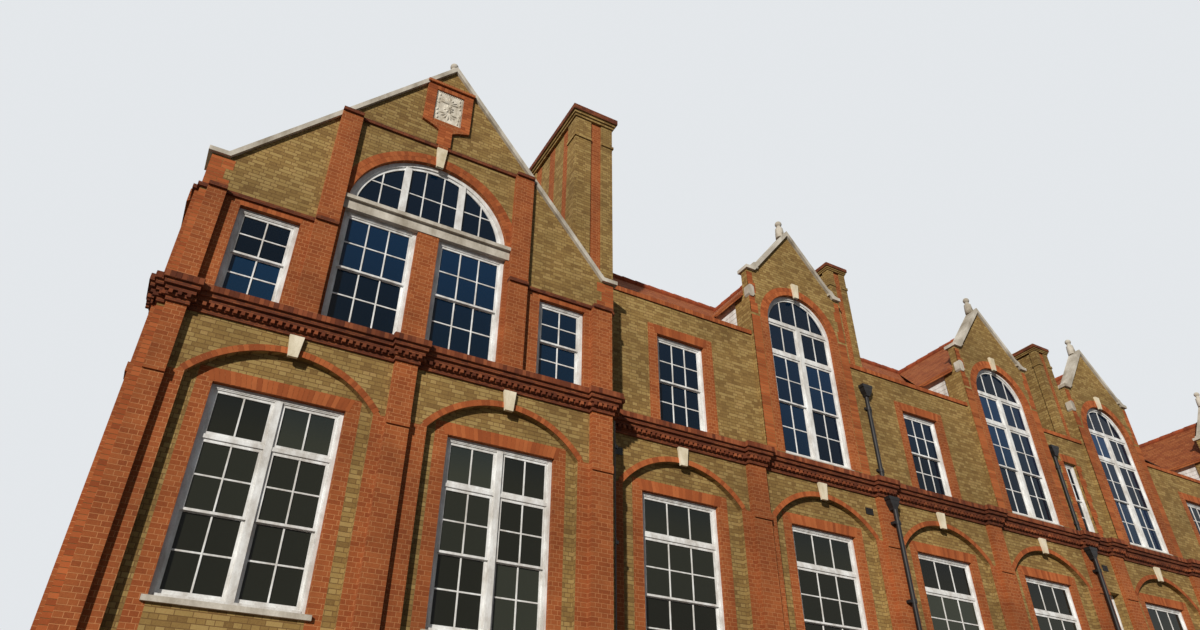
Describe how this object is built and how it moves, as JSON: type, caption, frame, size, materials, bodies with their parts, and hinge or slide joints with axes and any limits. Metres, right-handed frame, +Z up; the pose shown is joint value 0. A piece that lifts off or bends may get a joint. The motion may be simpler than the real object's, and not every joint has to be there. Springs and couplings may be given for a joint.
{
  "type": "school building",
  "caption": "Three-storey brick school with a gabled pavilion, a long wing of arched bays, brick cornice, tiled roofs with gables and tall chimneys.",
  "frame": {"origin": "middle of the building's footprint at ground level", "axes": "+X along the front from the pavilion to the end of the wing, +Y from the front to the back, +Z up"},
  "size_m": [34.97, 9.582, 17.95],
  "materials": {
    "stock_brick": "weathered yellow-brown stock brick, matt, sooted",
    "red_brick": "smooth red rubbed brick, matt",
    "moulded_brick": "darker red moulded brick and tile, matt",
    "white_stone": "pale limestone, matt",
    "stained_stone": "weathered limestone, grey and stained",
    "carved_stone": "pale carved stone relief, matt",
    "roof_tile": "plain clay tiles, matt",
    "painted_timber": "white paint, slightly dirty",
    "window_glass": "clear window glass",
    "black_iron": "black paint on cast iron",
    "floor_timber": "plain boards on joists, matt",
    "door_paint": "dark green paint"
  },
  "bodies": {
    "root": {"pavilion_front_wall": "stock_brick", "pavilion_left_wall": "stock_brick", "pavilion_right_wall": "stock_brick", "pavilion_back_wall": "stock_brick", "wing_front_wall": "stock_brick", "wing_facing": "stock_brick", "wing_spandrels": "stock_brick", "wing_back_wall": "stock_brick", "wing_end_wall": "stock_brick", "wing_gable_piers": "stock_brick", "wing_gable_walls": "stock_brick", "plinth": "red_brick", "floor_band": "red_brick", "pavilion_pilasters": "red_brick", "wing_pilasters": "red_brick", "pavilion_arches": "red_brick", "wing_arches": "red_brick", "window_surrounds": "red_brick", "gable_arches": "red_brick", "pavilion_cornice": "moulded_brick", "wing_cornice": "moulded_brick", "string_courses": "moulded_brick", "keystones": "white_stone", "stone_lintel": "stained_stone", "window_sills": "stained_stone", "plaque_surround": "moulded_brick", "gable_plaque": "carved_stone", "pavilion_coping": "stained_stone", "gable_copings": "stained_stone", "finials": "stained_stone", "parapet_coping": "moulded_brick", "pavilion_roof": "roof_tile", "wing_roof": "roof_tile", "cross_roofs": "roof_tile", "dormer_cheeks": "painted_timber", "main_chimney": "stock_brick", "gable_chimneys": "stock_brick", "chimney_strips": "red_brick", "downpipes": "black_iron", "rainwater_heads": "black_iron", "ground_floor": "floor_timber", "first_floor": "floor_timber", "top_floor": "floor_timber", "ground_window_frames": "painted_timber", "first_window_frames": "painted_timber", "top_window_frames": "painted_timber", "ground_window_glass": "window_glass", "first_window_glass": "window_glass", "top_window_glass": "window_glass", "entrance_door": "door_paint", "wall_vents": "black_iron"}
  },
  "joints": []
}
